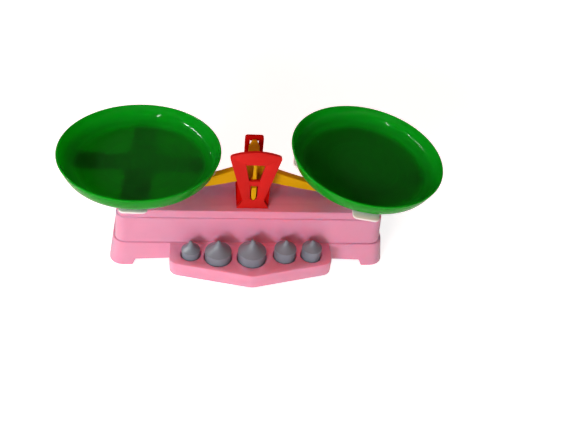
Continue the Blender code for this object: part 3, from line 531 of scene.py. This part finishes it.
def make_camera():
    """The camera at the photograph's place, pitched down, turned to the right and rolled."""
    level_share = math.cos(CAMERA_PITCH)
    forward = Vector((math.sin(CAMERA_YAW) * level_share, math.cos(CAMERA_YAW) * level_share,
                      -math.sin(CAMERA_PITCH)))
    level = forward.cross(UP).normalized()
    upright = level.cross(forward)
    right = math.cos(CAMERA_ROLL) * level + math.sin(CAMERA_ROLL) * upright
    up = math.cos(CAMERA_ROLL) * upright - math.sin(CAMERA_ROLL) * level
    data = bpy.data.cameras.new("camera")
    data.sensor_fit = "HORIZONTAL"
    data.sensor_width = SENSOR_WIDTH
    data.lens = FOCAL_PIXELS / IMAGE_WIDTH * SENSOR_WIDTH
    data.clip_start = CAMERA_CLIP
    camera = bpy.data.objects.new("camera", data)
    turn = Matrix((right, up, -forward)).transposed().to_4x4()
    camera.matrix_world = Matrix.Translation(CAMERA_PLACE) @ turn
    bpy.context.scene.collection.objects.link(camera)
    bpy.context.scene.camera = camera


def toward(azimuth, elevation):
    """The direction of a light: degrees to the right of the toy's front, and degrees up."""
    side = math.radians(azimuth)
    rise = math.radians(elevation)
    level_share = math.cos(rise)
    return Vector((math.sin(side) * level_share, -math.cos(side) * level_share, math.sin(rise)))


def area_light(name, azimuth, elevation, distance, width, height, power, color):
    """A soft panel that looks at the toy's middle from the given direction."""
    data = bpy.data.lights.new(name, "AREA")
    data.shape = "RECTANGLE"
    data.size = width
    data.size_y = height
    data.energy = power
    data.color = color
    light = bpy.data.objects.new(name, data)
    offset = toward(azimuth, elevation).normalized() * distance
    light.location = LIGHTS_AIM + offset
    light.rotation_euler = offset.to_track_quat("Z", "Y").to_euler()
    bpy.context.scene.collection.objects.link(light)
    return light


def make_lamps():
    """Even light that gloss doesn't mirror: low in front, weak beside and behind, red from above."""
    for name, measures in LAMPS.items():
        lamp = area_light(name, *measures)
        lamp.visible_glossy = False


def make_windows():
    """Bright panes that only show as highlights on glossy plastic."""
    for name, measures in WINDOWS.items():
        window = area_light(name, *measures)
        window.visible_diffuse = False


def sight_nodes(tree):
    """Whether the camera sees a surface, and whether gloss or a clear piece shows it."""
    path = tree.nodes.new("ShaderNodeLightPath")
    glossy = path.outputs["Is Glossy Ray"]
    clear = path.outputs["Is Transmission Ray"]
    return path.outputs["Is Camera Ray"], math_node(tree, "MAXIMUM", glossy, clear)


def white_world():
    """A white room with a dark ceiling: white to the camera and in low reflections, dim as a lamp."""
    world = bpy.data.worlds.new("white_room")
    bpy.context.scene.world = world
    world.use_nodes = True
    tree = world.node_tree
    background = tree.nodes["Background"]
    background.inputs["Color"].default_value = (1, 1, 1, 1)
    place = tree.nodes.new("ShaderNodeTexCoord")
    split = tree.nodes.new("ShaderNodeSeparateXYZ")
    tree.links.new(place.outputs["Generated"], split.inputs["Vector"])
    low = spread_node(tree, split.outputs["Z"], 1.0, 0.0, WALL_RISE, CEILING_RISE)
    direct, mirrored = sight_nodes(tree)
    seen = math_node(tree, "MAXIMUM", direct, math_node(tree, "MULTIPLY", mirrored, low))
    tree.links.new(spread_node(tree, seen, ROOM_LAMP, 1.0), background.inputs["Strength"])


def floor_material():
    """Matt white that also glows, strongly where it is seen and weakly as a lamp."""
    material, tree, shader = new_material("white_floor")
    shader.inputs["Base Color"].default_value = (*FLOOR_COLOR, 1)
    shader.inputs["Roughness"].default_value = FLOOR_ROUGH
    shader.inputs["Specular IOR Level"].default_value = FLOOR_GLOSS
    shader.inputs["Emission Color"].default_value = (1, 1, 1, 1)
    direct, mirrored = sight_nodes(tree)
    seen = math_node(tree, "MAXIMUM", direct, mirrored)
    white = spread_node(tree, reach_node(tree), FLOOR_WHITE, 1.0, FLOOR_NEAR, FLOOR_FAR)
    glow = math_node(tree, "MULTIPLY", white, spread_node(tree, seen, FLOOR_LAMP, 1.0))
    tree.links.new(glow, shader.inputs["Emission Strength"])
    return material


def make_floor():
    """The floor that the toy stands on."""
    body = bmesh.new()
    bmesh.ops.create_grid(body, x_segments=1, y_segments=1, size=FLOOR_REACH)
    mesh = bpy.data.meshes.new("floor")
    body.to_mesh(mesh)
    body.free()
    mesh.materials.append(floor_material())
    floor = bpy.data.objects.new("floor", mesh)
    bpy.context.scene.collection.objects.link(floor)


dress_mouldings()
make_weights(GREY)
make_pan("left", PAN_LEFT_PLACE, PAN_LEFT_AXIS, GREEN)
make_pan("right", PAN_RIGHT_PLACE, PAN_RIGHT_AXIS, DENSE_GREEN)
make_camera()
make_lamps()
make_windows()
white_world()
make_floor()
bpy.context.scene.view_settings.view_transform = "Standard"
